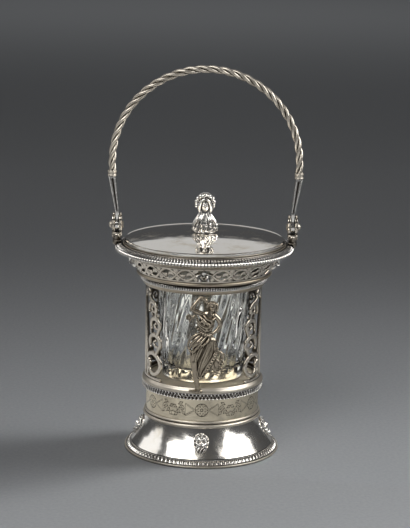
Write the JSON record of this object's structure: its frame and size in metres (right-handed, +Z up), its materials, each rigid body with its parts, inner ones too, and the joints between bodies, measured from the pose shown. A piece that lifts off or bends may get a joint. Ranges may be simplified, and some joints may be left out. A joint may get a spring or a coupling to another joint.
{
  "type": "mustard pot",
  "caption": "Covered silver mustard pot with an openwork frame on a flared foot, a lift-out glass liner, a lift-off domed lid with a bust finial, and a swinging bail of twisted wire.",
  "frame": {"origin": "middle of the foot, on the plane that the pot stands on", "axes": "+Z up along the pot's axis; X along the bail's pivots; -Y towards the dancer at the front"},
  "size_m": [0.0868, 0.08, 0.1731],
  "materials": {
    "silver_polished": "polished silver with fine scratches",
    "silver_aged": "worn silver, darkened in the recesses",
    "liner_glass": "clear, cut in flutes"
  },
  "bodies": {
    "pot": {"foot_wire": "silver_polished", "foot_border": "silver_aged", "foot_cone": "silver_polished", "foot_mask_front": "silver_aged", "foot_mask_right": "silver_aged", "foot_mask_back": "silver_aged", "foot_mask_left": "silver_aged", "reeded_collar": "silver_polished", "drum": "silver_aged", "gallery_ring": "silver_polished", "gallery_border": "silver_aged", "liner_floor": "silver_polished", "scroll_panel_right": "silver_aged", "scroll_panel_left": "silver_aged", "dancer_front": "silver_aged", "dancer_back": "silver_aged", "neck_ring": "silver_polished", "bead_border": "silver_aged", "pierced_band": "silver_aged", "band_shell_front": "silver_aged", "band_shell_right": "silver_aged", "band_shell_back": "silver_aged", "band_shell_left": "silver_aged", "rim_flange": "silver_polished", "rim_border": "silver_aged", "lug_right": "silver_aged", "lug_left": "silver_aged", "pivot_pin_right": "silver_aged", "pivot_pin_left": "silver_aged", "pivot_nut_right": "silver_aged", "pivot_nut_left": "silver_aged"},
    "bail": {"bail_arm_right": "silver_aged", "bail_arm_left": "silver_aged", "bail_ferrule_right": "silver_aged", "bail_ferrule_left": "silver_aged", "bail_wire_a": "silver_aged", "bail_wire_b": "silver_aged", "bail_wire_c": "silver_aged"},
    "liner": {"glass_liner": "liner_glass"},
    "lid": {"lid_dome": "silver_polished", "lid_rim": "silver_aged", "lid_bezel": "silver_polished", "finial_bust": "silver_aged", "finial_stud": "silver_polished", "finial_nut": "silver_polished"}
  },
  "joints": [
    {"name": "bail_swing", "type": "hinge", "parent": "pot", "child": "bail", "pos_m": [0, 0, 0.1018], "axis": [1, 0, 0], "range_deg": [-110, 110]},
    {"name": "liner_lift", "type": "slide", "parent": "pot", "child": "liner", "axis": [0, 0, 1], "range_m": [0, 0.045]},
    {"name": "lid_lift", "type": "slide", "parent": "liner", "child": "lid", "axis": [0, 0, 1], "range_m": [0, 0.045]}
  ]
}
